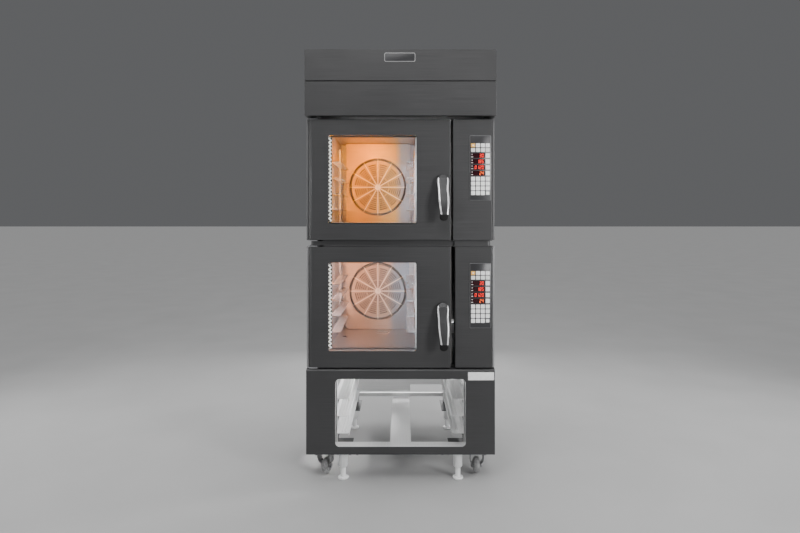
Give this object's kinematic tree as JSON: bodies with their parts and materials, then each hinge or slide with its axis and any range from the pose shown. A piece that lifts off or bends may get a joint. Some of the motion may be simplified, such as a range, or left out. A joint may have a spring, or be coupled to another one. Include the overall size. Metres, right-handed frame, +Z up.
{
  "type": "convection oven",
  "caption": "Stacked convection ovens with glazed doors, lever handles and keypads, on an open tray stand with casters and levelling feet, under a steam hood.",
  "frame": {"origin": "centre of the footprint, on the floor under the levelling feet", "axes": "+Z up, -Y the front with the doors and keypads, +X to the right seen from the front"},
  "size_m": [0.856, 0.902, 1.992],
  "materials": {
    "painted_panel": "satin, fine horizontal brush",
    "stainless": "brushed",
    "chrome": "polished",
    "glass": "clear",
    "seal_rubber": "matt",
    "wheel_rubber": "matt",
    "mineral_wool": "fibrous",
    "keypad_foil": "satin foil",
    "lamp": "clear",
    "heating_tube": "heat tinted",
    "motor_housing": "cast",
    "grip_plastic": "satin"
  },
  "bodies": {
    "tower": {"base_front_panel": "painted_panel", "base_side_panels": "painted_panel", "base_chassis": "painted_panel", "stacking_frame": "painted_panel", "hood_lower_shell": "painted_panel", "hood_upper_shell": "painted_panel", "base_rear_frame": "stainless", "base_top_frame": "stainless", "base_floor": "stainless", "tray_runners": "stainless", "rear_covers": "stainless", "hood_filter": "stainless", "leg_and_caster_mounts": "chrome", "insulation": "mineral_wool", "lower_casing": "painted_panel", "lower_control_panel": "painted_panel", "lower_chamber": "stainless", "lower_fan_guard": "stainless", "lower_side_racks": "stainless", "lower_door_hardware": "stainless", "lower_door_seal": "seal_rubber", "lower_heater": "heating_tube", "lower_fan_motor": "motor_housing", "lower_keypad": "keypad_foil", "upper_casing": "painted_panel", "upper_control_panel": "painted_panel", "upper_chamber": "stainless", "upper_fan_guard": "stainless", "upper_side_racks": "stainless", "upper_door_hardware": "stainless", "upper_door_seal": "seal_rubber", "upper_heater": "heating_tube", "upper_fan_motor": "motor_housing", "upper_keypad": "keypad_foil"},
    "lower_door": {"lower_door_skin": "painted_panel", "lower_door_frame": "stainless", "lower_door_glass": "glass", "lower_door_lamps": "lamp"},
    "lower_lever": {"lower_handle": "chrome", "lower_grip": "grip_plastic"},
    "lower_fan": {"lower_fan_wheel": "stainless"},
    "upper_door": {"upper_door_skin": "painted_panel", "upper_door_frame": "stainless", "upper_door_glass": "glass", "upper_door_lamps": "lamp"},
    "upper_lever": {"upper_handle": "chrome", "upper_grip": "grip_plastic"},
    "upper_fan": {"upper_fan_wheel": "stainless"},
    "caster_front_left": {"fork_front_left": "chrome"},
    "roller_front_left": {"wheel_front_left": "wheel_rubber"},
    "levelling_front_left": {"foot_front_left": "chrome"},
    "caster_front_right": {"fork_front_right": "chrome"},
    "roller_front_right": {"wheel_front_right": "wheel_rubber"},
    "levelling_front_right": {"foot_front_right": "chrome"},
    "caster_rear_left": {"fork_rear_left": "chrome"},
    "roller_rear_left": {"wheel_rear_left": "wheel_rubber"},
    "levelling_rear_left": {"foot_rear_left": "chrome"},
    "caster_rear_right": {"fork_rear_right": "chrome"},
    "roller_rear_right": {"wheel_rear_right": "wheel_rubber"},
    "levelling_rear_right": {"foot_rear_right": "chrome"}
  },
  "joints": [
    {"name": "lower_door_hinge", "type": "hinge", "parent": "tower", "child": "lower_door", "pos_m": [-0.399, -0.375, 0.7985], "axis": [0, 0, -1], "range_deg": [0, 120]},
    {"name": "lower_lever_turn", "type": "hinge", "parent": "lower_door", "child": "lower_lever", "pos_m": [0.19, -0.389, 0.794], "axis": [0, 1, 0], "range_deg": [0, 60]},
    {"name": "lower_fan_spin", "type": "hinge", "parent": "tower", "child": "lower_fan", "pos_m": [-0.127, 0.253, 0.796], "axis": [0, 1, 0], "continuous": true},
    {"name": "upper_door_hinge", "type": "hinge", "parent": "tower", "child": "upper_door", "pos_m": [-0.399, -0.375, 1.3725], "axis": [0, 0, -1], "range_deg": [0, 120]},
    {"name": "upper_lever_turn", "type": "hinge", "parent": "upper_door", "child": "upper_lever", "pos_m": [0.19, -0.389, 1.368], "axis": [0, 1, 0], "range_deg": [0, 60]},
    {"name": "upper_fan_spin", "type": "hinge", "parent": "tower", "child": "upper_fan", "pos_m": [-0.127, 0.253, 1.37], "axis": [0, 1, 0], "continuous": true},
    {"name": "swivel_front_left", "type": "hinge", "parent": "tower", "child": "caster_front_left", "pos_m": [-0.355, -0.299, 0.12], "axis": [0, 0, 1], "continuous": true},
    {"name": "roll_front_left", "type": "hinge", "parent": "caster_front_left", "child": "roller_front_left", "pos_m": [-0.34611, -0.27457, 0.0425], "axis": [0.9397, -0.342, 0], "continuous": true},
    {"name": "adjust_front_left", "type": "slide", "parent": "tower", "child": "levelling_front_left", "axis": [0, 0, 1], "range_m": [-0.02, 0.025]},
    {"name": "swivel_front_right", "type": "hinge", "parent": "tower", "child": "caster_front_right", "pos_m": [0.355, -0.299, 0.12], "axis": [0, 0, 1], "continuous": true},
    {"name": "roll_front_right", "type": "hinge", "parent": "caster_front_right", "child": "roller_front_right", "pos_m": [0.355, -0.273, 0.0425], "axis": [1, 0, 0], "continuous": true},
    {"name": "adjust_front_right", "type": "slide", "parent": "tower", "child": "levelling_front_right", "axis": [0, 0, 1], "range_m": [-0.02, 0.025]},
    {"name": "swivel_rear_left", "type": "hinge", "parent": "tower", "child": "caster_rear_left", "pos_m": [-0.355, 0.301, 0.12], "axis": [0, 0, 1], "continuous": true},
    {"name": "roll_rear_left", "type": "hinge", "parent": "caster_rear_left", "child": "roller_rear_left", "pos_m": [-0.36041, 0.32643, 0.0425], "axis": [0.9781, 0.2079, 0], "continuous": true},
    {"name": "adjust_rear_left", "type": "slide", "parent": "tower", "child": "levelling_rear_left", "axis": [0, 0, 1], "range_m": [-0.02, 0.025]},
    {"name": "swivel_rear_right", "type": "hinge", "parent": "tower", "child": "caster_rear_right", "pos_m": [0.355, 0.301, 0.12], "axis": [0, 0, 1], "continuous": true},
    {"name": "roll_rear_right", "type": "hinge", "parent": "caster_rear_right", "child": "roller_rear_right", "pos_m": [0.35862, 0.32675, 0.0425], "axis": [0.9903, -0.1392, 0], "continuous": true},
    {"name": "adjust_rear_right", "type": "slide", "parent": "tower", "child": "levelling_rear_right", "axis": [0, 0, 1], "range_m": [-0.02, 0.025]}
  ]
}
